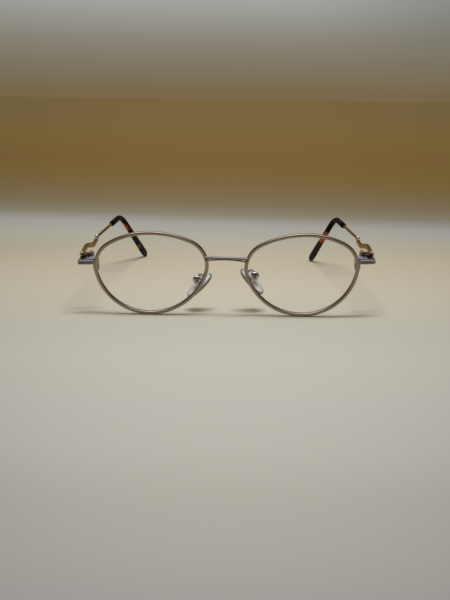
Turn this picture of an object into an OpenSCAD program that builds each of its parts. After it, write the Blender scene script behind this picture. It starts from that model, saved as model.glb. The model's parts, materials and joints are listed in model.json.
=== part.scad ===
// Oval full-rim wire eyeglasses, standing on the rims and the temple tips, temples open.
// Millimetres. +Z is up, the front faces -Y, the wearer's left is +X.
// "left" and "right" are the wearer's own sides.

/* [Lenses and rims] */
// Width of one lens at its widest
lens_w = 50; // [44:0.5:56]
// Height of one lens
lens_h = 37.8; // [32:0.2:44]
// Gap between the two lenses at the nose
bridge_w = 18.5; // [14:0.5:24]
// Radius of the ball the lenses and rims are curved on
ball_r = 130; // [90:5:260]
// Thickness of a lens
lens_t = 1.8; // [1.5:0.1:2.2]
// Width of the rim wire, seen from the front
rim_w = 1.7; // [1.5:0.1:2.2]
// Depth of the rim wire, front to back
rim_d = 2.1; // [1.9:0.1:2.6]
// Lean of the front, top forward
front_tilt = 7; // [0:0.5:12]

/* [Bends left in the frame] */
// Turn of each rim about its own middle: wearer's left side up, right side down
rack = 2; // [0:0.25:3]
// Slope of the bridge, down towards the wearer's left
bridge_slope = 1.3; // [0:0.1:3]
// Height of the left nose pad box above the right one
pad_rise = 2.2; // [0:0.1:3]
// How far in from the bend the right tip ends, front to back
tip_run_right = 32; // [26:0.5:36]
// The same on the left, where the tip has been bent down more steeply
tip_run_left = 25; // [20:0.5:34]

/* [Temples] */
// Distance from the hinge to the bend over the ear
temple_reach = 93; // [80:1:105]
// How far outside the hinge pin the temple runs
temple_out = 4.6; // [4.2:0.1:5.4]
// How far the temple has come inwards at the bend
temple_in = 5.2; // [2:0.2:8]
// How far inside the bend the tip ends
tip_in = 10.8; // [6:0.2:14]
// Length of the waved front part of the temple
wave_l = 39; // [30:1:46]
// Rise and fall of the wave
wave_a = 1.5; // [0.4:0.1:2]
// Height of the waved plate
wave_h = 2.4; // [2:0.1:3.6]
// Thickness of the temple
temple_t = 1.4; // [1.2:0.1:1.8]
// Diameter of the tip where it covers the temple
tip_d = 3; // [2.6:0.1:3.6]
// Height of the tip at its broad end
paddle_h = 4.2; // [3.4:0.1:5]

/* [Hinges and closing blocks] */
// Diameter of a hinge barrel
barrel_d = 2.4; // [2.2:0.1:3]
// Diameter of the hinge screw's shaft
pin_d = 1; // [0.8:0.1:1.2]
// Height of the whole hinge
hinge_h = 3.4; // [3:0.1:4]
// Running clearance round a pin
fit = 0.05; // [0.02:0.01:0.08]
// Reach of the end piece outside the rim
end_l = 7; // [6:0.1:8]
// Height of the end piece
end_h = 2; // [1.8:0.1:2.6]

/* [Nose pads] */
// Length of a nose pad
pad_l = 15.5; // [13:0.5:17]
// Width of a nose pad
pad_w = 7.5; // [6.5:0.1:9]
// Thickness of a nose pad at its middle
pad_t = 2.3; // [2:0.1:2.8]
// Diameter of the pad box
box_d = 4.2; // [3.6:0.1:4.8]
// Distance of the pad box behind the rims
box_y = 8; // [6.5:0.1:10]
// Distance of the pad box from the middle
box_x = 13.4; // [12:0.1:15]
// Height of the right pad box above the table
box_z = 15.4; // [14:0.1:18]

/* [Hidden] */
$fn = 48;
ball_fn = 240;                   // the large balls need finer faces
bite = 0.6;                      // how deep an end piece runs into its rim
lip = 0.35;                      // how far the lens edge runs outside the rim's centre line
share_out = 0.48;                // part of the width on the temple side
share_up = 0.418;                // part of the height above the widest level
a_out = (lens_w - 2 * lip) * share_out + lip + 0.35;
a_in = (lens_w - 2 * lip) * (1 - share_out) + lip + 0.35;
b_up = (lens_h - 2 * lip) * share_up + lip + 0.3;
b_down = (lens_h - 2 * lip) * (1 - share_up) + lip + 0.3;
r_up = 0.345 * lens_h;           // corner radius above the widest level
r_down = 0.27 * lens_h;          // corner radius below it
rim_x = bridge_w / 2 + a_in - lip;
ball_u = (a_out - a_in) / 2;
ball_w = (b_up - b_down) / 2;
sag_0 = ball_r - sqrt(pow(ball_r, 2) - pow((lens_w + lens_h) / 4, 2));
end_w = 2.8;                     // height of the end piece's middle above the widest level
cut = asin(0.8 / r_up);          // where the rim is cut, seen from its corner centre
cut_gap = 0.45;
steps = 90;
end_y = 8.1;                     // back of the end piece behind the lens plane
gap = 0.3;                       // air between the end piece and the temple
pin_u = a_out + rim_w / 2 + 2;
pin_w = 3.2;

// ---- the oval: four quarters, each a corner arc and a long arc that meet smoothly ----
function long_r(a, b, r) = (pow(a - r, 2) + b * b - r * r) / (2 * (b - r));
function meet(a, b, r) = atan2(long_r(a, b, r) - b, a - r);
function fold(f) = f <= 90 ? f : f <= 180 ? 180 - f : f <= 270 ? f - 180 : 360 - f;
function small_arc(a, r) = [a - r, 0, r];
function large_arc(b, r) = [0, b - r, r];
function arc_of(a, b, r, f) = f <= meet(a, b, r) ? small_arc(a, r) : large_arc(b, long_r(a, b, r));
function half_w(f) = f <= 90 || f >= 270 ? a_out : a_in;
function half_h(f) = f <= 180 ? b_up : b_down;
function corner(f) = f <= 180 ? r_up : r_down;
function quarter(f) = arc_of(half_w(f), half_h(f), corner(f), fold(f));
function sx(f) = f <= 90 || f >= 270 ? 1 : -1;
function sz(f) = f <= 180 ? 1 : -1;
function turn(f) = f >= 360 ? f - 360 : f;
function on_oval(f, e, c) = [sx(f) * c[0] + (c[2] + e) * cos(f), sz(f) * c[1] + (c[2] + e) * sin(f)];
function oval(f, e = 0) = on_oval(turn(f), e, quarter(turn(f)));
function ball_y(x, z) = ball_r - sqrt(pow(ball_r, 2) - x * x - z * z);
function sag(p) = ball_y(p[0] - ball_u, p[1] - ball_w) - sag_0;

// ---- one rim's own frame, x to the temple, y back, z up, carried to its place ----
function racked(p, side) = [
    p[0] * cos(rack) - side * p[2] * sin(rack),
    p[1],
    side * p[0] * sin(rack) + p[2] * cos(rack)
];
function tilted(p) = [
    p[0],
    p[1] * cos(front_tilt) - p[2] * sin(front_tilt),
    p[1] * sin(front_tilt) + p[2] * cos(front_tilt)
];
function leaned(p, side) = tilted(racked(p, side));
function column(list, k) = [for (p = list) p[k]];

// the rim wire's section: outwards from the centre line, then back
hw = rim_w / 2;
hd = rim_d / 2;
groove_w = 0.45;
groove_d = 0.6;
section = [
    [hw, -0.52 * hd], [hw, 0.52 * hd], [0.7 * hw, 0.88 * hd], [0.25 * hw, hd], [-0.5 * hw, hd],
    [-hw, 0.76 * hd], [-hw, groove_w], [groove_d - hw, groove_w], [groove_d - hw, -groove_w],
    [-hw, -groove_w], [-hw, -0.76 * hd], [-0.5 * hw, -hd], [0.25 * hw, -hd], [0.7 * hw, -0.88 * hd]
];
function station(k) = cut + cut_gap + (360 - 2 * cut_gap) * k / steps;
function rim_ring(f) = [for (s = section) [oval(f, s[0])[0], sag(oval(f)) + s[1], oval(f, s[0])[1]]];
rim_points = [for (k = [0:steps]) each rim_ring(station(k))];
function rim_low(side) = min(column([for (p = rim_points) leaned(p, side)], 2));
function rim_front(side) = min(column([for (p = rim_points) leaned(p, side)], 1));
rim_zs = [-rim_low(-1), 0, -rim_low(1)];
function rim_z(side) = rim_zs[side + 1];
function placed(p, side) = leaned(p, side) + [rim_x, 0, rim_z(side)];
pins = [for (side = [-1:1]) placed([pin_u, end_y + 0.3, pin_w], side)];
function pin(side) = pins[side + 1];

// ---- the temple's line, in the frame of the wearer's left side ----
function tip_run(side) = side > 0 ? tip_run_left : tip_run_right;
function wave_z(side, t) = pin(side)[2] + t * (side > 0 ? 0.8 : 1.7) + wave_a * sin(360 * t);
function wave_off(side, t) = [temple_out - 0.8 * t, gap + 0.1 + wave_l * t, wave_z(side, t) - pin(side)[2]];
function wave_at(side, t) = pin(side) + wave_off(side, t);
function bend(side) = pin(side) + [temple_out - temple_in, temple_reach, (side > 0 ? 2.5 : 3.9)];
function tip_end(side, z) = [bend(side)[0] - tip_in, bend(side)[1] + tip_run(side), z];
function between(a, b, t) = a + (b - a) * t;
function unit(v) = v / norm(v);
round_off = 8;
function bend_in(side) = bend(side) + round_off * unit(wave_at(side, 1) - bend(side));
function bend_out(side, z) = bend(side) + round_off * unit(tip_end(side, z) - bend(side));
function soft(a, b, c, t) = between(between(a, b, t), between(b, c, t), t);
function bend_line(side, z) = [for (t = [0:0.125:1]) soft(bend_in(side), bend(side), bend_out(side, z), t)];
function leg_line(side, z, stops) = [for (t = stops) between(bend_out(side, z), tip_end(side, z), t)];
sleeve_front = 14;               // tip's front edge ahead of the bend's rounding
function sleeve_in(side) = bend_in(side) + sleeve_front * unit(wave_at(side, 1) - bend(side));

// ---- a bar along a line: half width, half height and the line's points ----
function ahead(list, k) = unit(list[min(k + 1, len(list) - 1)] - list[max(k - 1, 0)]);
function across(v) = unit([v[1], -v[0], 0]);
function ring(p, v, w, h, n) = [
    for (i = [0:n - 1]) p + w * cos(360 * i / n) * across(v) + h * sin(360 * i / n) * cross(across(v), v)
];
function bar_points(line, size, n) = [
    for (k = [0:len(line) - 1]) each ring(line[k], ahead(line, k), size[k][0], size[k][1], n)
];
function walls(first, rows, n) = [
    for (k = [0:rows - 2], i = [0:n - 1])
        let (a = first + k * n + i, b = first + k * n + (i + 1) % n)
            [a, b, b + n, a + n]
];
function backwards(faces) = [for (f = faces) [for (i = [len(f) - 1:-1:0]) f[i]]];
function cap(first, n) = [for (i = [n - 1:-1:0]) first + i];
function open_cap(first, n) = [for (i = [0:n - 1]) first + i];

module bar(line, size, n = 12)
    polyhedron(
        bar_points(line, size, n),
        concat(walls(0, len(line), n), [cap(0, n)], [open_cap((len(line) - 1) * n, n)])
    );

module tube(line, size, core, core_size, n = 12)
    polyhedron(
        concat(bar_points(line, size, n), bar_points(core, core_size, n)),
        concat(
            walls(0, len(line), n),
            backwards(walls(len(line) * n, len(core), n)),
            [open_cap((len(line) - 1) * n, n)],
            [cap((len(line) + len(core) - 1) * n, n)],
            [for (i = [0:n - 1]) [(i + 1) % n, i, len(line) * n + i, len(line) * n + (i + 1) % n]]
        )
    );

// tip: round over the temple, broad and flat at its end
leg_stops = [0.15, 0.35, 0.6, 0.8, 0.9, 0.955, 0.985, 1];
leg_size = [
    [0.5, 0.5], [0.5, 0.53], [0.48, 0.62], [0.46, 0.7], [0.45, 0.7], [0.41, 0.58], [0.33, 0.4], [0.18, 0.2]
];
function tip_line(side, z) = concat([sleeve_in(side)], bend_line(side, z), leg_line(side, z, leg_stops));
tip_size = concat(
    [[tip_d / 2, tip_d / 2]],
    [for (t = [0:0.125:1]) [tip_d / 2, tip_d / 2]],
    [for (s = leg_size) [s[0] * tip_d, s[1] * paddle_h / 1.4]]
);
function tip_low(side, z) = min(column(bar_points(tip_line(side, z), tip_size, 12), 2));
function tip_z1(side) = -tip_low(side, 0);
tip_zs = [for (side = [-1:1]) let (z = tip_z1(side)) z - tip_low(side, z)];
function tip_z(side) = tip_zs[side + 1];
function tip_back(side) = max(column(bar_points(tip_line(side, tip_z(side)), tip_size, 12), 1));
core_stops = [0.15, 0.35, 0.6, 0.8];
core_r = 0.6;
function core_line(side) = concat(
    [sleeve_in(side)], bend_line(side, tip_z(side)), leg_line(side, tip_z(side), core_stops)
);

// ---- the origin: middle of the whole thing, on the table ----
y_front = min(rim_front(1), rim_front(-1));
y_back = max(tip_back(1), tip_back(-1));
y_mid = (y_front + y_back) / 2;
x_mid = -0.11;                   // the bends carry the wearer's right end a little further out

module on_side(side) translate([-x_mid, -y_mid, 0]) mirror([side < 0 ? 1 : 0, 0, 0]) children();

module on_rim(side)
    on_side(side)
        translate([rim_x, 0, rim_z(side)])
            rotate([front_tilt, 0, 0])
                rotate([0, -side * rack, 0])
                    children();

module at_pin(side) on_side(side) translate(pin(side)) children();

// ---- rims, lenses ----
module rim(side)
    color([0.80, 0.72, 0.62])
        on_rim(side)
            polyhedron(
                rim_points,
                concat(
                    walls(0, steps + 1, len(section)),
                    [cap(0, len(section))],
                    [open_cap(steps * len(section), len(section))]
                )
            );

module lens_plate(edge, thick)
    intersection() {
        rotate([90, 0, 0])
            linear_extrude(height = 30, center = true)
                polygon([for (k = [0:steps - 1]) oval(station(k), edge)]);
        translate([ball_u, ball_r - sag_0, ball_w])
            difference() {
                sphere(r = ball_r + thick / 2, $fn = ball_fn);
                sphere(r = ball_r - thick / 2, $fn = ball_fn);
            }
    }

module lens(side)
    color([0.9, 0.93, 0.92, 0.3])
        on_rim(side)
            intersection() {
                union() {
                    lens_plate(-hw - 0.1, lens_t);
                    lens_plate(groove_d - hw - 0.1, 2 * groove_w - 0.4);
                }
                translate([-lens_w, -10, -lens_h])
                    cube([2 * lens_w, 20, 2 * lens_h]);
            }

// ---- closing blocks that hold each rim shut, and their screw ----
block_y = sag(oval(cut)) + hd - 0.05;
block_d = 2.4;
block_w = 2.6;
block_u = a_out + hw - 2.1;

module lock_block(side, low, high, hole)
    color([0.74, 0.66, 0.55])
        on_rim(side)
            difference() {
                translate([block_u, block_y, low])
                    cube([block_w, block_d, high - low]);
                translate([block_u + block_w / 2, block_y + block_d / 2 + 0.1, low - 1])
                    cylinder(r = hole, h = high - low + 2);
            }

module lock_upper(side) lock_block(side, 0.9, 3, 0.5);

module lock_lower(side) lock_block(side, -1.4, 0.7, 0.55);

module lock_screw(side)
    color([0.7, 0.68, 0.64])
        on_rim(side)
            translate([block_u + block_w / 2, block_y + block_d / 2 + 0.1, -1.9])
                difference() {
                    union() {
                        cylinder(r = 0.9, h = 0.5);
                        cylinder(r = 0.5, h = 4.6);
                    }
                    translate([-1, -0.12, -0.1])
                        cube([2, 0.24, 0.3]);
                }

// ---- end pieces ----
end_u = a_out + hw - bite;
end_out = end_u + end_l + bite;
end_front = sag(oval(cut)) - 1.1;
end_d = 1.8;
leg_t = 2.1;

module end_piece(side)
    color([0.76, 0.69, 0.64])
        on_rim(side)
            difference() {
                union() {
                    translate([end_u, end_front, end_w - end_h / 2])
                        cube([end_l + bite - end_h / 2, end_d, end_h]);
                    translate([end_out - end_h / 2, end_front, end_w])
                        rotate([-90, 0, 0])
                            cylinder(r = end_h / 2, h = end_d);
                    translate([end_out - leg_t, 0, 0])
                        rotate([90, 0, 90])
                            linear_extrude(height = leg_t)
                                polygon([
                                    [end_front + 0.8, end_w - 0.7], [end_y, pin_w - 1.9],
                                    [end_y, pin_w - 0.1], [end_front + 1.2, end_w + 0.7]
                                ]);
                }
                translate([end_u - 1, end_front - 1, end_w - 0.15])
                    cube([end_l + 0.6, 1.25, 0.3]);
            }

// ---- hinges ----
mid_h = 1.2;
leaf_t = 1;
clear_r = barrel_d / 2 + gap;
reach_x = temple_out - temple_t / 2 + 0.2;
reach_end = end_out - leg_t - pin_u + 0.25;

module hinge_front(side)
    color([0.78, 0.70, 0.60])
        at_pin(side)
            difference() {
                union() {
                    translate([0, 0, -hinge_h / 2])
                        cylinder(d = barrel_d, h = hinge_h);
                    translate([0, -leaf_t - 0.1, -hinge_h / 2])
                        cube([reach_end, leaf_t, hinge_h]);
                }
                translate([0, 0, -hinge_h])
                    cylinder(d = pin_d + 2 * fit, h = 2 * hinge_h);
                translate([0, 0, -mid_h / 2 - 0.06])
                    cylinder(r = clear_r, h = mid_h + 0.12);
            }

module hinge_temple(side)
    color([0.72, 0.60, 0.38])
        at_pin(side)
            difference() {
                union() {
                    translate([0, 0, -mid_h / 2])
                        cylinder(d = barrel_d, h = mid_h);
                    translate([0, gap - 0.1, -1.1])
                        cube([reach_x, leaf_t, 2.2]);
                }
                translate([0, 0, -hinge_h])
                    cylinder(d = pin_d + 2 * fit, h = 2 * hinge_h);
                for (z = [mid_h / 2, -hinge_h - mid_h / 2])
                    translate([0, 0, z])
                        cylinder(r = clear_r, h = hinge_h);
            }

module hinge_screw(side)
    color([0.75, 0.73, 0.70])
        at_pin(side)
            difference() {
                union() {
                    translate([0, 0, -hinge_h / 2])
                        cylinder(d = pin_d, h = hinge_h);
                    translate([0, 0, hinge_h / 2])
                        cylinder(d = 1.9, h = 0.55);
                }
                translate([-1.5, -0.13, hinge_h / 2 + 0.3])
                    cube([3, 0.26, 1]);
            }

// ---- temples ----
wave_stops = [for (k = [0:16]) k / 16];
function plate_in(t) = 1.1 + (wave_h / 2 - 1.1) * min(1, t * 5);
function plate_h(t) = plate_in(t) - (wave_h / 2 - temple_t / 2) * pow(max(0, (t - 0.72) / 0.28), 2);
function temple_line(side) = concat(
    [for (t = wave_stops) wave_at(side, t)],
    [for (t = [0.25, 0.5, 0.75]) between(wave_at(side, 1), sleeve_in(side), t)],
    core_line(side)
);
temple_size = concat(
    [for (t = wave_stops) [temple_t / 2, plate_h(t)]],
    [for (t = [1, 2, 3]) [temple_t / 2, temple_t / 2]],
    [for (k = [0:13]) [core_r, core_r]]
);

module temple(side)
    color([0.66, 0.54, 0.34])
        on_side(side)
            difference() {
                bar(temple_line(side), temple_size);
                translate(wave_at(side, 0.36))
                    rotate([0, 90, 0])
                        cylinder(d = 1.2, h = 4, center = true);
            }

module tip(side)
    color([0.16, 0.09, 0.05])
        on_side(side)
            tube(
                tip_line(side, tip_z(side)), tip_size,
                core_line(side), [for (k = [0:13]) [core_r + 0.02, core_r + 0.02]]
            );

module bead(side, at, d)
    color([0.86, 0.82, 0.76])
        on_side(side)
            translate(at)
                sphere(d = d);

module bead_front(side) bead(side, wave_at(side, 0) + [0.1, 1.25, -0.2], 2.6);

module bead_rear(side) bead(side, wave_at(side, 0.97) + [0.2, 0, 0.6], 2);

// ---- bridge ----
bridge_z = rim_z(1) + 4.7;
bridge_y = -1.1;
bar_l = bridge_w + 1.4;
bar_h = 1.35;
bar_d = 1.9;
brace_h = 1.05;

module on_bridge() translate([-x_mid, bridge_y - y_mid, bridge_z]) rotate([0, bridge_slope, 0]) children();

module bridge_bar()
    color([0.79, 0.71, 0.68])
        on_bridge()
            rotate([90, 0, 90])
                linear_extrude(height = bar_l, center = true) {
                    square([bar_d - bar_h, bar_h], center = true);
                    for (y = [-1, 1])
                        translate([y * (bar_d - bar_h) / 2, 0])
                            circle(d = bar_h);
                }

brace_x = [for (k = [-12:12]) bar_l * 0.48 * k / 12];
function arch(x) = pow(2 * x / bar_l, 2);
module bridge_brace()
    color([0.72, 0.58, 0.40])
        on_bridge()
            rotate([90, 0, 0])
                linear_extrude(height = 1.4, center = true)
                    polygon(concat(
                        [for (x = brace_x) [x, -0.4 * bar_h - 0.55 * brace_h * arch(x)]],
                        [for (x = brace_x) [-x, -0.75 * bar_h - brace_h * arch(x)]]
                    ));

// ---- nose pads ----
function box_pos(side) = [box_x - (side > 0 ? 0.25 : -0.25), box_y, box_z + (side > 0 ? pad_rise : 0)];
function pad_turn(side) = side > 0 ? 47 : 44;
eye_w = 1.1;
eye_r = 1.05;
pad_low = -2.9;                  // pad's middle below the box
pad_down = 1.3;                  // pad's middle along its own length from the box
pad_back = 1.3;                  // pad's middle behind the box
splay = 23;                      // turn of the pad, rear edge away from the nose
ball_pad = 40;

module at_box(side) on_side(side) translate(box_pos(side)) rotate([0, pad_turn(side), 0]) children();

module in_pad() translate([pad_down, pad_back, pad_low]) rotate([splay, 0, 0]) children();

module pad_outline(l, w)
    polygon([
        for (k = [0:47])
            let (c = cos(7.5 * k), s = sin(7.5 * k))
                [l / 2 * sign(c) * pow(abs(c), 0.82), w / 2 * sign(s) * pow(abs(s), 0.9) * (1 + 0.1 * c)]
    ]);

module pad_core_solid() {
    in_pad()
        linear_extrude(height = 0.7, center = true)
            pad_outline(8, 4);
    translate([-0.9, -eye_w / 2, pad_low - 0.7])
        cube([1.8, eye_w, 0.1 - pad_low]);
}

module nose_pad(side)
    color([0.86, 0.88, 0.82, 0.6])
        at_box(side)
            difference() {
                in_pad()
                    intersection() {
                        linear_extrude(height = 4, center = true)
                            pad_outline(pad_l, pad_w);
                        translate([0, 0, pad_t / 2 - ball_pad])
                            sphere(r = ball_pad, $fn = ball_fn);
                        translate([0, 0, ball_pad - pad_t / 2])
                            sphere(r = ball_pad, $fn = ball_fn);
                    }
                pad_core_solid();
            }

module pad_core(side)
    color([0.62, 0.60, 0.55])
        at_box(side)
            difference() {
                union() {
                    pad_core_solid();
                    rotate([90, 0, 0])
                        cylinder(r = eye_r, h = eye_w, center = true);
                }
                rotate([90, 0, 0])
                    cylinder(d = pin_d + 2 * fit, h = 6, center = true);
            }

module pad_box(side)
    color([0.86, 0.84, 0.80])
        at_box(side)
            difference() {
                intersection() {
                    rotate([90, 0, 0])
                        cylinder(d = box_d, h = 2.8, center = true);
                    translate([-5, -5, -1.2])
                        cube(10);
                }
                translate([-1.35, -eye_w / 2 - 0.06, -6])
                    cube([2.7, eye_w + 0.12, 7.4]);
                rotate([90, 0, 0])
                    cylinder(d = pin_d, h = 6, center = true);
            }

module pad_screw(side)
    color([0.45, 0.43, 0.40])
        at_box(side)
            rotate([90, 0, 0])
                difference() {
                    union() {
                        cylinder(d = pin_d, h = 2.8, center = true);
                        translate([0, 0, 1.4])
                            cylinder(d = 1.9, h = 0.5);
                    }
                    translate([-2, -0.13, 1.65])
                        cube([4, 0.26, 1]);
                }

function arm_at(side) = side > 0 ? oval(194) : oval(205);
function arm_root(side) = placed([arm_at(side)[0], sag(arm_at(side)) + 0.75, arm_at(side)[1]], side);
function arm_end(side) = box_pos(side) + [-0.65, 0, 1.7];
function arm_line(side) = [
    for (t = [0:0.1:1])
        let (a = arm_root(side), d = arm_end(side), b = a + [0.2, 4, 0.4], c = d + [-0.7, 0.8, 1.8])
            between(soft(a, b, c, t), soft(b, c, d, t), t)
];

module pad_arm(side)
    color([0.80, 0.76, 0.70])
        on_side(side)
            bar(arm_line(side), [for (k = [0:10]) [0.55, 0.55]], 10);

// ---- every piece by name ----

rim(1);  // rim_left
lens(1);  // lens_left
lock_upper(1);  // lock_upper_left
lock_lower(1);  // lock_lower_left
lock_screw(1);  // lock_screw_left
end_piece(1);  // end_piece_left
hinge_front(1);  // hinge_front_left
hinge_screw(1);  // hinge_screw_left
hinge_temple(1);  // hinge_temple_left
temple(1);  // temple_left
tip(1);  // tip_left
bead_front(1);  // bead_front_left
bead_rear(1);  // bead_rear_left
pad_arm(1);  // pad_arm_left
pad_box(1);  // pad_box_left
pad_screw(1);  // pad_screw_left
pad_core(1);  // pad_core_left
nose_pad(1);  // nose_pad_left
rim(-1);  // rim_right
lens(-1);  // lens_right
lock_upper(-1);  // lock_upper_right
lock_lower(-1);  // lock_lower_right
lock_screw(-1);  // lock_screw_right
end_piece(-1);  // end_piece_right
hinge_front(-1);  // hinge_front_right
hinge_screw(-1);  // hinge_screw_right
hinge_temple(-1);  // hinge_temple_right
temple(-1);  // temple_right
tip(-1);  // tip_right
bead_front(-1);  // bead_front_right
bead_rear(-1);  // bead_rear_right
pad_arm(-1);  // pad_arm_right
pad_box(-1);  // pad_box_right
pad_screw(-1);  // pad_screw_right
pad_core(-1);  // pad_core_right
nose_pad(-1);  // nose_pad_right
bridge_bar();
bridge_brace();
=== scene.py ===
"""Oval wire-rimmed eyeglasses, slightly bent, standing open on their rims and temple tips.

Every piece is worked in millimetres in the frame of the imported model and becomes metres
when its mesh is made. "Left" and "right" are the wearer's own sides.
"""

from __future__ import annotations

import json
import logging
import math
from dataclasses import dataclass, field
from enum import Enum
from typing import Any, Iterable, Sequence

import bmesh
import bpy
import numpy as np
from mathutils import Matrix, Vector

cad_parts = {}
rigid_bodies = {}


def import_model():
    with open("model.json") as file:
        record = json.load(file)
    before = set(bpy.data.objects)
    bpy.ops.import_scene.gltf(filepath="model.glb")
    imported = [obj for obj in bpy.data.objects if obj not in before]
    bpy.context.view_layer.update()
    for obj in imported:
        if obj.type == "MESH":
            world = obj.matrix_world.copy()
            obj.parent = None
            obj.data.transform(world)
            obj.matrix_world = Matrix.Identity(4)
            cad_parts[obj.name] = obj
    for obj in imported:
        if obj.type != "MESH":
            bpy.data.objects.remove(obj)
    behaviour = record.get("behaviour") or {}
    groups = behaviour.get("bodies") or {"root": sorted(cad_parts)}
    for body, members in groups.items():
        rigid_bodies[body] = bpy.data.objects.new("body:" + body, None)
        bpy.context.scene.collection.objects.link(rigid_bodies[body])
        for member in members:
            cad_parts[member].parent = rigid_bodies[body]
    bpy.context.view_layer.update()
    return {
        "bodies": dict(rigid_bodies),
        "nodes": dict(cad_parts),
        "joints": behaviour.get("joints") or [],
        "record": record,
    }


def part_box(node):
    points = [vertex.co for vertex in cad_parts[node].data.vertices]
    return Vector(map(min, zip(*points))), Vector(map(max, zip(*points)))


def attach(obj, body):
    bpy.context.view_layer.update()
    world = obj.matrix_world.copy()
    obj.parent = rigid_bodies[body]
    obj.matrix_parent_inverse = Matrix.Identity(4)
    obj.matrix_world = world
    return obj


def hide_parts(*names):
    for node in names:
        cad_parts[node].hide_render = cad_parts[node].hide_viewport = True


MM = 0.001
LOG = logging.getLogger("eyeglasses")
Point = np.ndarray
Ring = np.ndarray
Colour = tuple[float, float, float, float]
BLACK: Colour = (0.0, 0.0, 0.0, 1.0)


class Side(Enum):
    """Which of the wearer's sides a piece is on; the value is the sign of X."""

    LEFT = 1
    RIGHT = -1

    @property
    def label(self) -> str:
        """Returns the word that ends the names of this side's pieces."""
        return self.name.lower()

    def pick(self, left: Any, right: Any) -> Any:
        """Returns the first value on the left side and the second on the right side."""
        return left if self is Side.LEFT else right


class Body(Enum):
    """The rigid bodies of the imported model."""

    FRONT = "front"
    TEMPLE_LEFT = "temple_left"
    TEMPLE_RIGHT = "temple_right"
    PAD_LEFT = "pad_left"
    PAD_RIGHT = "pad_right"

    @staticmethod
    def temple(side: Side) -> "Body":
        """Returns the temple body of one side."""
        return side.pick(Body.TEMPLE_LEFT, Body.TEMPLE_RIGHT)

    @staticmethod
    def pad(side: Side) -> "Body":
        """Returns the nose-pad body of one side."""
        return side.pick(Body.PAD_LEFT, Body.PAD_RIGHT)


# --------------------------------------------------------------------------------------
# Node trees
# --------------------------------------------------------------------------------------


class NodeBench:
    """Makes and wires the nodes of one tree."""

    def __init__(self, tree: bpy.types.NodeTree) -> None:
        """Keeps the tree that the nodes go into.

        Args:
            tree: a shader or geometry node tree.
        """
        self.tree = tree

    def make(self, kind: str, settings: dict[str, Any] | None = None,
             inputs: dict[Any, Any] | None = None) -> bpy.types.Node:
        """Adds one node.

        Args:
            kind: the node's type name.
            settings: attributes set first; "stops" fills a colour ramp with
                (place, colour) pairs.
            inputs: socket name or index to a value, a socket or a Shade.

        Returns:
            The new node.
        """
        node = self.tree.nodes.new(kind)
        for name, value in (settings or {}).items():
            if name == "stops":
                self._fill_ramp(node, value)
            else:
                setattr(node, name, value)
        for name, value in (inputs or {}).items():
            self.feed(node.inputs[name], value)
        return node

    def feed(self, socket: bpy.types.NodeSocket, value: Any) -> None:
        """Sets a socket's value, or links it when the value is a socket or a Shade."""
        if isinstance(value, Shade):
            value = value.socket
        if isinstance(value, bpy.types.NodeSocket):
            self.tree.links.new(value, socket)
        else:
            socket.default_value = value

    @staticmethod
    def _fill_ramp(node: bpy.types.Node, stops: Sequence[tuple[float, Any]]) -> None:
        """Replaces a ramp's elements by the given (place, colour) stops."""
        elements = node.color_ramp.elements
        while len(elements) < len(stops):
            elements.new(0.5)
        for element, (place, colour) in zip(elements, stops):
            element.position = place
            element.color = colour

    def shade(self, socket: bpy.types.NodeSocket) -> "Shade":
        """Wraps a socket for use in expressions."""
        return Shade(self, socket)

    def split(self, vector: bpy.types.NodeSocket) -> tuple["Shade", ...]:
        """Returns the X, Y and Z of a vector."""
        parts = self.make("ShaderNodeSeparateXYZ", None, {0: vector})
        return tuple(self.shade(parts.outputs[axis]) for axis in "XYZ")

    def ramp(self, stops: Sequence[tuple[float, Colour]], factor: Any) -> bpy.types.NodeSocket:
        """Returns the colour that a ramp of (place, colour) stops has at a factor."""
        return self.make("ShaderNodeValToRGB", {"stops": stops}, {"Fac": factor}).outputs["Color"]

    def blend(self, factor: Any, first: Any, second: Any) -> bpy.types.NodeSocket:
        """Mixes two colours by a factor and returns the colour socket."""
        node = self.make("ShaderNodeMix", {"data_type": "RGBA"}, {0: factor, 6: first, 7: second})
        return node.outputs[2]

    def dimmed(self, colour: Any, share: Any) -> bpy.types.NodeSocket:
        """Returns a colour at a share of its brightness."""
        return self.blend(share, BLACK, colour)

    def seen(self) -> "Shade":
        """Returns 1 where a ray shows things, straight, mirrored or through glass, else 0."""
        ray = self.make("ShaderNodeLightPath")
        kinds = ("Camera", "Glossy", "Transmission")
        camera, glossy, through = (self.shade(ray.outputs[f"Is {kind} Ray"]) for kind in kinds)
        return camera + glossy + through


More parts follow.
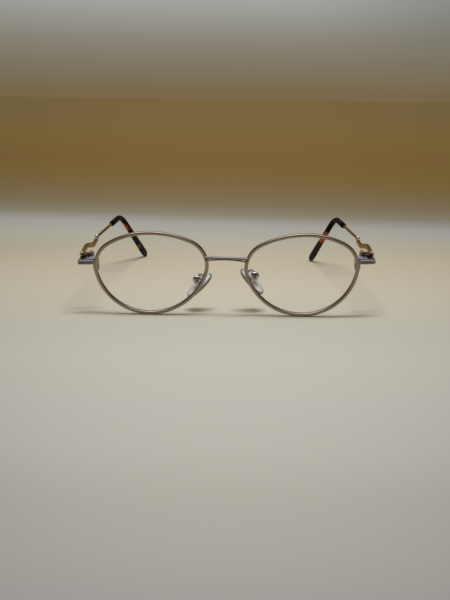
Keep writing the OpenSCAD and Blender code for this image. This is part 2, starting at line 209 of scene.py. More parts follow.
class Shade:
    """A shader number on a socket, usable in Python expressions."""

    def __init__(self, bench: NodeBench, socket: bpy.types.NodeSocket) -> None:
        """Keeps the bench that makes the Math nodes and the socket that is wrapped."""
        self.bench = bench
        self.socket = socket

    def _math(self, operation: str, first: Any, second: Any = 0.0) -> "Shade":
        """Adds one Math node and returns its result."""
        node = self.bench.make("ShaderNodeMath", {"operation": operation}, {0: first, 1: second})
        return Shade(self.bench, node.outputs[0])

    def __add__(self, other: Any) -> "Shade":
        """Returns self + other."""
        return self._math("ADD", self, other)

    def __radd__(self, other: Any) -> "Shade":
        """Returns other + self."""
        return self._math("ADD", other, self)

    def __sub__(self, other: Any) -> "Shade":
        """Returns self - other."""
        return self._math("SUBTRACT", self, other)

    def __rsub__(self, other: Any) -> "Shade":
        """Returns other - self."""
        return self._math("SUBTRACT", other, self)

    def __mul__(self, other: Any) -> "Shade":
        """Returns self * other."""
        return self._math("MULTIPLY", self, other)

    def __rmul__(self, other: Any) -> "Shade":
        """Returns other * self."""
        return self._math("MULTIPLY", other, self)

    def __truediv__(self, other: Any) -> "Shade":
        """Returns self / other."""
        return self._math("DIVIDE", self, other)

    def __pow__(self, other: Any) -> "Shade":
        """Returns self to the power of other."""
        return self._math("POWER", self, other)

    def highest(self, other: Any) -> "Shade":
        """Returns the larger of self and other."""
        return self._math("MAXIMUM", self, other)

    def smooth(self, low: float, high: float, start: float = 0.0, end: float = 1.0) -> "Shade":
        """Maps low..high to start..end with soft ends.

        Args:
            low: the value that gives start.
            high: the value that gives end.
            start: result at and below low.
            end: result at and above high.

        Returns:
            The mapped number.
        """
        node = self.bench.make(
            "ShaderNodeMapRange", {"interpolation_type": "SMOOTHSTEP"},
            {"Value": self, "From Min": low, "From Max": high, "To Min": start, "To Max": end},
        )
        return Shade(self.bench, node.outputs["Result"])


def linear(red: int, green: int, blue: int) -> Colour:
    """Turns a display colour of 0..255 steps into the linear colour nodes use."""
    def channel(step: int) -> float:
        """Returns one linear channel."""
        share = step / 255
        return share / 12.92 if share <= 0.04045 else ((share + 0.055) / 1.055) ** 2.4

    return (channel(red), channel(green), channel(blue), 1.0)


def tones(*rows: tuple[float, int, int, int]) -> list[tuple[float, Colour]]:
    """Turns rows of (place, red, green, blue) into the stops of a ramp."""
    return [(place, linear(red, green, blue)) for place, red, green, blue in rows]


# --------------------------------------------------------------------------------------
# Finishes
# --------------------------------------------------------------------------------------


class Surface:
    """A material being built: the bench, the object coordinates and the main shader."""

    def __init__(self, name: str) -> None:
        """Starts an empty material.

        Args:
            name: the material's name.
        """
        self.material = bpy.data.materials.new(name)
        self.material.use_nodes = True
        tree = self.material.node_tree
        tree.nodes.clear()
        self.bench = NodeBench(tree)
        self.output = self.bench.make("ShaderNodeOutputMaterial")
        self.place = self.bench.make("ShaderNodeTexCoord").outputs["Object"]

    def principled(self, **values: Any) -> bpy.types.Node:
        """Adds the main shader and wires it to the output; a key's underscores are spaces."""
        inputs = {key.replace("_", " "): value for key, value in values.items()}
        node = self.bench.make("ShaderNodeBsdfPrincipled", None, inputs)
        self.bench.feed(self.output.inputs["Surface"], node.outputs[0])
        return node

    def noise(self, scale: float, detail: float = 3.0, rough: float = 0.5,
              stretch: tuple[float, float, float] = (1.0, 1.0, 1.0), seed: float = 0.0) -> Shade:
        """Adds a noise over the object's own coordinates.

        Args:
            scale: features to a metre.
            detail: octaves.
            rough: strength of the finer octaves.
            stretch: scale factors along X, Y and Z.
            seed: shift that gives another pattern.

        Returns:
            The noise, about 0.2 to 0.8.
        """
        mapped = self.bench.make(
            "ShaderNodeMapping", None,
            {"Vector": self.place, "Scale": stretch, "Location": (seed, seed * 0.7, -seed)},
        )
        node = self.bench.make(
            "ShaderNodeTexNoise", None,
            {"Vector": mapped.outputs[0], "Scale": scale, "Detail": detail, "Roughness": rough},
        )
        return self.bench.shade(node.outputs["Fac"])

    def bump(self, height: Shade, depth: float, strength: float = 1.0) -> bpy.types.NodeSocket:
        """Turns a height of 0..1 into a normal; depth is in metres."""
        node = self.bench.make(
            "ShaderNodeBump", None, {"Strength": strength, "Distance": depth, "Height": height})
        return node.outputs["Normal"]


@dataclass(frozen=True)
class PlatedMetal:
    """Polished or satin plating with light wear."""

    name: str
    colour: Colour
    worn: Colour
    roughness: float = 0.16
    wear: float = 0.35
    lacquer: float = 0.9
    edge: Colour = (0.62, 0.52, 0.42, 1.0)

    def build(self) -> bpy.types.Material:
        """Returns the finished material."""
        surface = Surface(self.name)
        cloud = surface.noise(260.0, 4.0, 0.6)
        fine = surface.noise(1900.0, 2.0, 0.55, seed=3.1)
        worn = cloud.smooth(0.5, 0.72) * self.wear
        colour = surface.bench.blend(worn, self.colour, self.worn)
        roughness = self.roughness + 0.05 * fine + 0.14 * worn
        surface.principled(
            Base_Color=colour, Metallic=1.0, Roughness=roughness, Specular_Tint=self.edge,
            Coat_Weight=self.lacquer, Coat_IOR=1.65, Coat_Roughness=0.05,
            Normal=surface.bump(fine, 0.000012, 0.05),
        )
        return surface.material


@dataclass(frozen=True)
class Tortoise:
    """Dark tortoise-pattern acetate, glossy."""

    name: str = "tortoise_tip"
    dark: Colour = (0.004, 0.002, 0.0015, 1.0)
    brown: Colour = (0.03, 0.008, 0.002, 1.0)
    amber: Colour = (0.34, 0.09, 0.01, 1.0)
    pattern: float = 5.48

    def build(self) -> bpy.types.Material:
        """Returns the finished material."""
        surface = Surface(self.name)
        patch = surface.noise(150.0, 2.0, 0.45, stretch=(1.0, 0.6, 0.9), seed=self.pattern)
        small = surface.noise(620.0, 3.0, 0.6, seed=1.3)
        across, along, height = surface.bench.split(surface.place)
        before_bend = (along - 0.007 * across.smooth(-0.01, 0.01)).smooth(0.0355, 0.0325)
        band = height.smooth(0.011, 0.017)
        mixed = patch + 0.2 * (small - 0.5) + 0.16 * band - 0.08 - 0.3 * before_bend
        warm = surface.bench.blend(mixed.smooth(0.44, 0.56), self.dark, self.brown)
        colour = surface.bench.blend(mixed.smooth(0.55, 0.63), warm, self.amber)
        surface.principled(
            Base_Color=colour, Roughness=0.22 + 0.1 * small, IOR=1.04,
            Coat_Weight=0.04, Coat_Roughness=0.08,
        )
        return surface.material


@dataclass(frozen=True)
class ClearLens:
    """A clear lens that reflects a little more at a glance than face on."""

    name: str = "clear_lens"
    tint: Colour = (0.93, 0.97, 0.95, 1.0)

    def build(self) -> bpy.types.Material:
        """Returns the finished material."""
        surface = Surface(self.name)
        glance = surface.bench.shade(
            surface.bench.make("ShaderNodeFresnel", None, {"IOR": 1.5}).outputs[0])
        haze = surface.noise(60.0, 2.0, 0.5)
        surface.principled(
            Base_Color=self.tint, Metallic=1.0, Roughness=0.03 + 0.03 * haze,
            Alpha=(glance * 0.34).highest(0.012),
        )
        return surface.material


@dataclass(frozen=True)
class SoftSilicone:
    """Clear silicone, greenish towards its edge, where a painted dark outline stands in for the
    shade that refraction gives a clear pad's edge.
    """

    name: str = "silicone_pad"
    middle: Colour = (1.0, 1.0, 1.0, 1.0)
    # Painted shade: the dark outline colour at the pad's edge.
    edge: Colour = (0.10, 0.105, 0.05, 1.0)

    def build(self) -> bpy.types.Material:
        """Returns the finished material."""
        surface = Surface(self.name)
        rim = surface.bench.shade(
            surface.bench.make("ShaderNodeAttribute", {"attribute_name": "rimness"}).outputs["Fac"])
        # Painted shade: the outline near the edge is darker and more opaque, in place of
        # refraction.
        painted_refraction_edge = rim.smooth(0.82, 0.95)
        cloud = surface.noise(420.0, 2.0, 0.5)
        surface.principled(
            Base_Color=surface.bench.blend(painted_refraction_edge, self.middle, self.edge),
            Roughness=0.22 + 0.08 * cloud, IOR=1.42,
            Alpha=0.54 + 0.32 * painted_refraction_edge + 0.08 * cloud,
            Coat_Weight=0.8, Coat_IOR=1.7, Coat_Roughness=0.12,
        )
        return surface.material


# --------------------------------------------------------------------------------------
# Mesh making
# --------------------------------------------------------------------------------------


def unit(vector: Point) -> Point:
    """Returns the vector at length one."""
    return vector / np.linalg.norm(vector)


def between(first: Any, second: Any, share: float) -> Any:
    """Returns the value that lies a share of the way from first to second."""
    return first + (second - first) * share


def box_corners(node: str) -> tuple[Point, Point]:
    """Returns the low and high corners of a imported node's box, in millimetres."""
    low, high = (np.array(corner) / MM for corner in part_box(node))
    return low, high


def moved(points: Any, matrix: Matrix) -> np.ndarray:
    """Returns (n, 3) points carried by a matrix."""
    turn = np.array(matrix)
    return np.atleast_2d(np.asarray(points, float)) @ turn[:3, :3].T + turn[:3, 3]


def linked(name: str, mesh: bpy.types.Mesh) -> bpy.types.Object:
    """Makes an object of a mesh and puts it in the scene."""
    made = bpy.data.objects.new(name, mesh)
    bpy.context.scene.collection.objects.link(made)
    return made


def crisp(piece: bpy.types.Object, degrees: float) -> None:
    """Shades a piece smooth, but for edges that turn by more than this many degrees."""
    piece.data.shade_smooth()
    piece.data.set_sharp_from_angle(angle=math.radians(degrees))


def eased(start: Point, leaving: Point, arriving: Point, end: Point, share: float) -> Point:
    """Returns the point at a share of a bent line.

    Args:
        start: where the line starts.
        leaving: the point that the line sets out for.
        arriving: the point that the line comes in from.
        end: where the line ends.
        share: 0 at the start, 1 at the end.

    Returns:
        The point.
    """
    rest = 1 - share
    return (rest ** 3 * start + 3 * rest ** 2 * share * leaving
            + 3 * rest * share ** 2 * arriving + share ** 3 * end)


def rounded_ring(width: float, height: float, power: float, count: int) -> Ring:
    """Outline between an ellipse (power 2) and a rectangle (high power).

    Args:
        width: half width.
        height: half height.
        power: how square the outline is.
        count: number of points.

    Returns:
        Points (count, 2).
    """
    angles = np.arange(count) * 2 * math.pi / count
    cosine, sine = np.cos(angles), np.sin(angles)
    return np.stack([
        width * np.sign(cosine) * np.abs(cosine) ** (2 / power),
        height * np.sign(sine) * np.abs(sine) ** (2 / power),
    ], axis=1)


def mesh_piece(name: str, points: Any, faces: Sequence[Sequence[int]],
               attribute: dict[str, Sequence[float]] | None = None) -> bpy.types.Object:
    """Makes an object from points in millimetres.

    Args:
        name: the object's name.
        points: (n, 3) millimetres in the model's frame.
        faces: corner numbers.
        attribute: optional point attributes by name.

    Returns:
        The linked object, smooth shaded and with faces pointing outwards.
    """
    mesh = bpy.data.meshes.new(name)
    metres = np.asarray(points, float) * MM
    mesh.from_pydata([tuple(point) for point in metres], [], [list(face) for face in faces])
    for key, values in (attribute or {}).items():
        layer = mesh.attributes.new(key, "FLOAT", "POINT")
        layer.data.foreach_set("value", np.asarray(values, np.float32))
    work = bmesh.new()
    work.from_mesh(mesh)
    bmesh.ops.recalc_face_normals(work, faces=work.faces)
    if work.calc_volume(signed=True) < 0:
        bmesh.ops.reverse_faces(work, faces=work.faces)
    work.to_mesh(mesh)
    work.free()
    mesh.shade_smooth()
    return linked(name, mesh)


def loft(rings: Sequence[Ring], closed: bool = False) -> tuple[np.ndarray, list[list[int]]]:
    """Joins rings of equal length into a skin.

    Args:
        rings: (n, 3) points each.
        closed: joins the last ring to the first instead of capping both ends.

    Returns:
        All points and all faces.
    """
    count = len(rings[0])
    rows = len(rings)
    faces = []
    for row in range(rows if closed else rows - 1):
        here, there = row * count, ((row + 1) % rows) * count
        for i in range(count):
            j = (i + 1) % count
            faces.append([here + i, here + j, there + j, there + i])
    if not closed:
        faces.append(list(range(count))[::-1])
        faces.append([(rows - 1) * count + i for i in range(count)])
    return np.concatenate(rings), faces


def swept_rings(line: Sequence[Point], sizes: Sequence[tuple[float, float, float]],
                count: int) -> list[Ring]:
    """Sets outlines square across a line.

    Args:
        line: points of the line.
        sizes: half width (level), half height and squareness at each point.
        count: points in an outline.

    Returns:
        One ring for each point of the line.
    """
    rings = []
    for k, point in enumerate(line):
        ahead = unit(line[min(k + 1, len(line) - 1)] - line[max(k - 1, 0)])
        across = unit(np.array([ahead[1], -ahead[0], 0.0]))
        upright = np.cross(across, ahead)
        outline = rounded_ring(*sizes[k], count)
        rings.append(point + outline[:, :1] * across + outline[:, 1:] * upright)
    return rings


def ball(name: str, centre: Point, radius: float) -> bpy.types.Object:
    """Makes a smooth ball; centre and radius are in millimetres."""
    work = bmesh.new()
    bmesh.ops.create_icosphere(work, subdivisions=4, radius=radius * MM)
    bmesh.ops.translate(work, verts=work.verts, vec=Vector(centre * MM))
    mesh = bpy.data.meshes.new(name)
    work.to_mesh(mesh)
    work.free()
    mesh.shade_smooth()
    return linked(name, mesh)


def applied(piece: bpy.types.Object) -> bpy.types.Object:
    """Turns an object's modifiers into plain mesh and removes them."""
    depsgraph = bpy.context.evaluated_depsgraph_get()
    mesh = bpy.data.meshes.new_from_object(piece.evaluated_get(depsgraph))
    piece.modifiers.clear()
    piece.data = mesh
    return piece


def softened(frame: dict[str, Any], node: str, name: str, width: float,
             segments: int = 3) -> bpy.types.Object:
    """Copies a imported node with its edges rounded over.

    Args:
        node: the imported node.
        name: the new piece's name.
        width: width of the rounding in millimetres.
        segments: faces across the rounding.

    Returns:
        The new object.
    """
    mesh = frame["nodes"][node].data.copy()
    mesh.materials.clear()
    work = bmesh.new()
    work.from_mesh(mesh)
    bmesh.ops.remove_doubles(work, verts=work.verts, dist=2e-6)
    bmesh.ops.dissolve_limit(
        work, angle_limit=math.radians(1.0), verts=work.verts, edges=work.edges)
    work.to_mesh(mesh)
    work.free()
    made = linked(name, mesh)
    bevel = made.modifiers.new("rounded_edges", "BEVEL")
    bevel.width = width * MM
    bevel.segments = segments
    bevel.limit_method = "ANGLE"
    bevel.angle_limit = math.radians(38)
    bevel.use_clamp_overlap = True
    applied(made)
    crisp(made, 50)
    return made


def carve(piece: bpy.types.Object, place: Matrix, size: tuple[float, float, float],
          round_bit: bool = False) -> None:
    """Cuts a block or a round bore out of a piece.

    Args:
        piece: what is cut.
        place: the cutter's frame in millimetres, its middle at the origin.
        size: the block's edges; for a bore, its diameter twice and its length along Z.
        round_bit: cuts a bore instead of a block.
    """
    work = bmesh.new()
    if round_bit:
        bmesh.ops.create_cone(work, cap_ends=True, segments=32, radius1=0.5, radius2=0.5, depth=1.0)
    else:
        bmesh.ops.create_cube(work, size=1.0)
    bmesh.ops.transform(work, matrix=Matrix.Diagonal((*size, 1)), verts=work.verts)
    bmesh.ops.transform(work, matrix=Matrix.Scale(MM, 4) @ place, verts=work.verts)
    bmesh.ops.recalc_face_normals(work, faces=work.faces)
    mesh = bpy.data.meshes.new("cutter")
    work.to_mesh(mesh)
    work.free()
    cutter = linked("cutter", mesh)
    cut = piece.modifiers.new("cut", "BOOLEAN")
    cut.operation, cut.object, cut.solver = "DIFFERENCE", cutter, "EXACT"
    applied(piece)
    bpy.data.objects.remove(cutter)


def set_down(piece: bpy.types.Object, body: Body, material: bpy.types.Material, slot: str,
             *nodes: str) -> bpy.types.Object:
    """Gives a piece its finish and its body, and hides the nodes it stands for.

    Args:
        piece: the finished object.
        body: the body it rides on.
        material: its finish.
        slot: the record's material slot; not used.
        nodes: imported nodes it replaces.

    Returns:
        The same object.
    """
    if not piece.data.materials:
        piece.data.materials.append(material)
    else:
        for i in range(len(piece.data.materials)):
            piece.data.materials[i] = material
    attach(piece, body.value)
    if nodes:
        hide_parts(*nodes)
    LOG.info("%s: %d faces on %s", piece.name, len(piece.data.polygons), body.value)
    return piece


# --------------------------------------------------------------------------------------
# Geometry Nodes trees
# --------------------------------------------------------------------------------------


class GrowTree:
    """A Geometry Nodes tree with named inputs, run on an object and then made plain."""

    def __init__(self, name: str) -> None:
        """Starts a tree that takes and returns geometry.

        Args:
            name: the tree's name.
        """
        self.tree = bpy.data.node_groups.new(name, "GeometryNodeTree")
        for way in ("INPUT", "OUTPUT"):
            self.tree.interface.new_socket(
                "Geometry", in_out=way, socket_type="NodeSocketGeometry")
        self.bench = NodeBench(self.tree)
        self.ids: dict[str, str] = {}
        self.start = self.bench.make("NodeGroupInput")
        self.end = self.bench.make("NodeGroupOutput")

    def size(self, name: str, kind: str = "NodeSocketFloat") -> bpy.types.NodeSocket:
        """Adds a named input and returns its socket inside the tree."""
        made = self.tree.interface.new_socket(name, in_out="INPUT", socket_type=kind)
        self.ids[name] = made.identifier
        return self.start.outputs[name]

    def close(self, geometry: bpy.types.NodeSocket) -> None:
        """Ends the tree in Realize Instances and Set Material."""
        material = self.size("Material", "NodeSocketMaterial")
        real = self.bench.make("GeometryNodeRealizeInstances", None, {0: geometry})
        dressed = self.bench.make(
            "GeometryNodeSetMaterial", None, {"Geometry": real.outputs[0], "Material": material})
        self.bench.feed(self.end.inputs[0], dressed.outputs[0])

    def run(self, piece: bpy.types.Object, **sizes: Any) -> bpy.types.Object:
        """Runs the tree on an object and leaves a plain mesh.

        Args:
            piece: the object whose mesh goes in.
            sizes: the named inputs, with underscores for spaces.

        Returns:
            The same object with its new mesh.
        """
        modifier = piece.modifiers.new(self.tree.name, "NODES")
        modifier.node_group = self.tree
        for key, value in sizes.items():
            modifier[self.ids[key.replace("_", " ")]] = value
        return applied(piece)


def wire_tree() -> GrowTree:
    """Returns a tree that makes round wire along a line of edges."""
    grow = GrowTree("round_wire")
    radius, sides = grow.size("Radius"), grow.size("Sides", "NodeSocketInt")
    curve = grow.bench.make(
        "GeometryNodeMeshToCurve", None, {"Mesh": grow.start.outputs["Geometry"]})
    section = grow.bench.make(
        "GeometryNodeCurvePrimitiveCircle", {"mode": "RADIUS"},
        {"Resolution": sides, "Radius": radius})
    wire = grow.bench.make(
        "GeometryNodeCurveToMesh", None,
        {"Curve": curve.outputs[0], "Profile Curve": section.outputs[0], "Fill Caps": True})
    grow.close(wire.outputs[0])
    return grow


def rib_tree() -> GrowTree:
    """Returns a tree that stacks straight round ribs above one another, running along X."""
    grow = GrowTree("stacked_ribs")
    count = grow.size("Count", "NodeSocketInt")
    pitch, length, radius = grow.size("Pitch"), grow.size("Length"), grow.size("Radius")
    step = grow.bench.make("ShaderNodeCombineXYZ", None, {"Z": pitch})
    row = grow.bench.make(
        "GeometryNodeMeshLine", {"mode": "OFFSET"}, {"Count": count, "Offset": step.outputs[0]})
    rod = grow.bench.make(
        "GeometryNodeMeshCylinder", None,
        {"Vertices": 24, "Side Segments": 8, "Radius": radius, "Depth": length})
    laid = grow.bench.make(
        "GeometryNodeTransform", None,
        {"Geometry": rod.outputs["Mesh"], "Rotation": (0.0, math.pi / 2, 0.0)})
    placed = grow.bench.make(
        "GeometryNodeInstanceOnPoints", None,
        {"Points": row.outputs[0], "Instance": laid.outputs[0]})
    grow.close(placed.outputs[0])
    return grow


def screw_tree() -> GrowTree:
    """Returns a tree that sets a slotted screw, head up, on each point it is given."""
    grow = GrowTree("slotted_screws")
    head, rise = grow.size("Head Radius"), grow.size("Head Height")
    shank, depth = grow.size("Shank Radius"), grow.size("Shank Length")
    slot, turn = grow.size("Slot Width"), grow.size("Turn", "NodeSocketVector")
    half = grow.bench.make("ShaderNodeMath", {"operation": "MULTIPLY"}, {0: rise, 1: 0.5})
    low = grow.bench.make("ShaderNodeMath", {"operation": "MULTIPLY"}, {0: depth, 1: -0.5})
    lift = grow.bench.make("ShaderNodeCombineXYZ", None, {"Z": half.outputs[0]})
    drop = grow.bench.make("ShaderNodeCombineXYZ", None, {"Z": low.outputs[0]})
    top = grow.bench.make("ShaderNodeCombineXYZ", None, {"Z": rise})
    wide = grow.bench.make("ShaderNodeMath", {"operation": "MULTIPLY"}, {0: head, 1: 3.0})
    cut = grow.bench.make(
        "ShaderNodeCombineXYZ", None, {"X": wide.outputs[0], "Y": slot, "Z": rise})
    disc = grow.bench.make(
        "GeometryNodeMeshCylinder", None, {"Vertices": 40, "Radius": head, "Depth": rise})
    disc_up = grow.bench.make(
        "GeometryNodeTransform", None,
        {"Geometry": disc.outputs["Mesh"], "Translation": lift.outputs[0]})
    bar = grow.bench.make("GeometryNodeMeshCube", None, {"Size": cut.outputs[0]})
    bar_up = grow.bench.make(
        "GeometryNodeTransform", None,
        {"Geometry": bar.outputs["Mesh"], "Translation": top.outputs[0]})
    slotted = grow.bench.make("GeometryNodeMeshBoolean", {"operation": "DIFFERENCE"})
    grow.bench.feed(slotted.inputs["Mesh 1"], disc_up.outputs[0])
    grow.bench.feed(slotted.inputs["Mesh 2"], bar_up.outputs[0])
    rod = grow.bench.make(
        "GeometryNodeMeshCylinder", None, {"Vertices": 24, "Radius": shank, "Depth": depth})
    rod_down = grow.bench.make(
        "GeometryNodeTransform", None,
        {"Geometry": rod.outputs["Mesh"], "Translation": drop.outputs[0]})
    whole = grow.bench.make("GeometryNodeJoinGeometry")
    grow.bench.feed(whole.inputs[0], slotted.outputs[0])
    grow.bench.feed(whole.inputs[0], rod_down.outputs[0])
    points = grow.bench.make(
        "GeometryNodeMeshToPoints", None, {"Mesh": grow.start.outputs["Geometry"]})
    placed = grow.bench.make(
        "GeometryNodeInstanceOnPoints", None,
        {"Points": points.outputs[0], "Instance": whole.outputs[0], "Rotation": turn})
    grow.close(placed.outputs[0])
    return grow


def line_piece(name: str, points: Sequence[Point], joined: bool = True) -> bpy.types.Object:
    """Makes an object of points, joined by edges if asked; points are in millimetres."""
    mesh = bpy.data.meshes.new(name)
    edges = [(i, i + 1) for i in range(len(points) - 1)] if joined else []
    mesh.from_pydata([tuple(point) for point in np.asarray(points, float) * MM], edges, [])
    return linked(name, mesh)


# --------------------------------------------------------------------------------------
# The rims' oval and its place
# --------------------------------------------------------------------------------------


@dataclass(frozen=True)
class Oval:
    """The rim's centre line: four quarters, each a corner arc and a long arc. Millimetres."""

    outer: float = 24.364
    inner: float = 26.336
    above: float = 16.158
    below: float = 22.242
    corner_above: float = 13.041
    corner_below: float = 10.206
    ball_radius: float = 130.0
    ball_start: float = 1.8663
    cut_angle: float = 3.517

    def point(self, degrees: float, outwards: float = 0.0) -> tuple[float, float]:
        """Returns (across, up) of the line, moved outwards, where its normal has this angle."""
        turn = degrees % 360
        on_right = turn <= 90 or turn >= 270
        on_top = turn <= 180
        wide = self.outer if on_right else self.inner
        tall = self.above if on_top else self.below
        small = self.corner_above if on_top else self.corner_below
        folded = [turn, 180 - turn, turn - 180, 360 - turn][min(3, int(turn // 90))]
        large = ((wide - small) ** 2 + tall ** 2 - small ** 2) / (2 * (tall - small))
        meets = math.degrees(math.atan2(large - tall, wide - small))
        centre = (wide - small, 0.0, small) if folded <= meets else (0.0, tall - large, large)
        right, top = (1 if on_right else -1), (1 if on_top else -1)
        angle = math.radians(turn)
        return (
            right * centre[0] + (centre[2] + outwards) * math.cos(angle),
            top * centre[1] + (centre[2] + outwards) * math.sin(angle),
        )

    @property
    def middle(self) -> tuple[float, float]:
        """Returns the oval's middle, across and up."""
        return (self.outer - self.inner) / 2, (self.above - self.below) / 2

    def sag(self, across: float, up: float) -> float:
        """Returns how far back the ball that the lens is curved on lies at a point."""
        x, z = across - self.middle[0], up - self.middle[1]
        behind = math.sqrt(self.ball_radius ** 2 - x * x - z * z)
        return self.ball_radius - behind - self.ball_start


@dataclass(frozen=True)
class RimPlace:
    """Carries points from a rim's own frame to the model's frame. Millimetres and degrees."""

    side: Side
    half_spacing: float = 35.236
    middle: float = 0.11
    depth: float = 0.0
    height: float = 22.96
    lean: float = 7.0
    rack: float = 2.0

    def matrix(self) -> Matrix:
        """Returns the placing matrix in millimetres, mirrored for the right side."""
        sign = self.side.value
        return (
            Matrix.Translation((self.middle, self.depth, 0))
            @ Matrix.Diagonal((sign, 1, 1, 1))
            @ Matrix.Translation((self.half_spacing, 0, self.height))
            @ Matrix.Rotation(math.radians(self.lean), 4, "X")
            @ Matrix.Rotation(math.radians(-sign * self.rack), 4, "Y")
        )

    def carry(self, points: Any) -> np.ndarray:
        """Returns (n, 3) points carried to the model's frame."""
        return moved(points, self.matrix())


def fitted_place(side: Side, oval: Oval, half_wire: float) -> RimPlace:
    """Finds a rim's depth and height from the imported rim's own box.

    Args:
        side: the wearer's side.
        oval: the rim's centre line.
        half_wire: half the rim wire's width in millimetres.

    Returns:
        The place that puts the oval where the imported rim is.
    """
    low, high = box_corners(f"rim_{side.label}")
    trial = RimPlace(side)
    outline = [(*oval.point(a, half_wire), oval.sag(*oval.point(a))) for a in range(0, 360, 2)]
    rim = trial.carry([(x, y, z) for x, z, y in outline])
    shift = (low + high) / 2 - (rim.min(axis=0) + rim.max(axis=0)) / 2
    return RimPlace(
        side, middle=trial.middle + shift[0], depth=shift[1], height=trial.height + shift[2])


# --------------------------------------------------------------------------------------
# The front
# --------------------------------------------------------------------------------------


@dataclass
class Front:
    """Rims, lenses, bridge, end pieces and closing blocks. Millimetres."""

    frame: dict[str, Any]
    oval: Oval = field(default_factory=Oval)
    wire_width: float = 1.7
    wire_depth: float = 2.1
    wire_power: float = 2.7
    lens_thickness: float = 1.7
    stations: int = 220
    slit: float = 0.14
    bridge_length: float = 19.9
    bridge_depth: float = 1.9
    bridge_height: float = 1.35
    bridge_slope: float = 1.3
    end_up: float = 2.8
    end_ahead: float = 1.1
    rib_pitch: float = 1.02
    rib_radius: float = 0.44
    rib_length: float = 6.3

    def place(self, side: Side) -> RimPlace:
        """Returns where one side's rim is."""
        return fitted_place(side, self.oval, self.wire_width / 2)

    def rim(self, side: Side, finish: bpy.types.Material) -> None:
        """Builds one rim: a rounded wire along the oval, open at the closing block."""
        place = self.place(side)
        first = self.oval.cut_angle + self.slit
        outline = rounded_ring(self.wire_width / 2, self.wire_depth / 2, self.wire_power, 24)
        rings = []
        for k in range(self.stations + 1):
            angle = first + (360 - 2 * self.slit) * k / self.stations
            back = self.oval.sag(*self.oval.point(angle))
            ring = [(*self.oval.point(angle, out), back + deep) for out, deep in outline]
            rings.append(place.carry([(x, y, z) for x, z, y in ring]))
        piece = mesh_piece(f"rim_wire_{side.label}", *loft(rings))
        crisp(piece, 60)
        set_down(piece, Body.FRONT, finish, "rim_metal", f"rim_{side.label}")

    def lens(self, side: Side, finish: bpy.types.Material) -> None:
        """Builds one lens: two curved faces and the edge that sits in the rim."""
        place = self.place(side)
        edge, rows, columns = -0.4, 18, 144
        middle = self.oval.middle
        points, faces = [], []
        for half in (-self.lens_thickness / 2, self.lens_thickness / 2):
            start = len(points)
            points.append((middle[0], self.oval.sag(*middle) + half, middle[1]))
            for row in range(1, rows + 1):
                for column in range(columns):
                    x, z = self.oval.point(360 * column / columns, edge)
                    x = between(middle[0], x, row / rows)
                    z = between(middle[1], z, row / rows)
                    points.append((x, self.oval.sag(x, z) + half, z))
            for column in range(columns):
                after = (column + 1) % columns
                faces.append([start, start + 1 + column, start + 1 + after])
                for row in range(rows - 1):
                    here = start + 1 + row * columns
                    faces.append([here + column, here + columns + column,
                                  here + columns + after, here + after])
        side_start = 1 + (rows - 1) * columns
        shift = 1 + rows * columns
        for column in range(columns):
            after = (column + 1) % columns
            faces.append([side_start + column, side_start + after,
                          side_start + after + shift, side_start + column + shift])
        piece = mesh_piece(f"lens_clear_{side.label}", place.carry(points), faces)
        crisp(piece, 40)
        set_down(piece, Body.FRONT, finish, "lens", f"lens_{side.label}")

    @staticmethod
    def bar_swell(share: float) -> float:
        """Returns the bridge bar's thickness at a share of its half length, 1 near its ends."""
        reach = abs(share)
        if reach >= 0.96:
            return 0.94 if reach < 0.99 else 0.78
        return 1.0 - 0.1 * (1 - min(1.0, reach / 0.88))

    def bridge_ring(self, x: float, lift: float, outline: Ring) -> Ring:
        """Sets an outline across the sloping bridge.

        Args:
            x: distance from the bridge's middle in millimetres.
            lift: height over the bar's centre line in millimetres.
            outline: (n, 2) points, back and up.

        Returns:
            Points (n, 3).
        """
        low, high = box_corners("bridge_bar")
        centre = (low + high) / 2
        up = centre[2] - x * math.tan(math.radians(self.bridge_slope)) + lift
        return np.array([(centre[0] + x, centre[1] + a, up + b) for a, b in outline])

    def bridge(self, bar_finish: bpy.types.Material, brace_finish: bpy.types.Material) -> None:
        """Builds the bridge bar and the thin arched brace under it."""
        half = self.bridge_length / 2
        outer_shares = (0.3, 0.6, 0.84, 0.9, 0.95, 0.985, 1)
        rings = []
        for share in (*(-share for share in reversed(outer_shares)), 0, *outer_shares):
            swell = self.bar_swell(share)
            outline = rounded_ring(
                self.bridge_depth / 2 * swell, self.bridge_height / 2 * swell, 2.6, 24)
            rings.append(self.bridge_ring(share * half, 0.0, outline))
        bar = mesh_piece("bridge_bar_round", *loft(rings))
        crisp(bar, 60)
        set_down(bar, Body.FRONT, bar_finish, "bridge_metal", "bridge_bar")
        rings = []
        for k in range(33):
            x = (k / 16 - 1) * half * 0.96
            bow = (x / half) ** 2
            top = -0.42 * self.bridge_height - 0.55 * bow
            bottom = -0.72 * self.bridge_height - 1.02 * bow
            outline = rounded_ring(0.7, (top - bottom) / 2, 2.6, 20)
            rings.append(self.bridge_ring(x, (top + bottom) / 2, outline))
        brace = mesh_piece("bridge_brace_arch", *loft(rings))
        crisp(brace, 60)
        set_down(brace, Body.FRONT, brace_finish, "temple_metal", "bridge_brace")

    def end_start(self) -> tuple[float, float]:
        """Returns where an end piece starts, outwards and back, in its rim's own frame."""
        cut = self.oval.point(self.oval.cut_angle)
        return self.oval.outer + self.wire_width / 2, self.oval.sag(*cut) - self.end_ahead

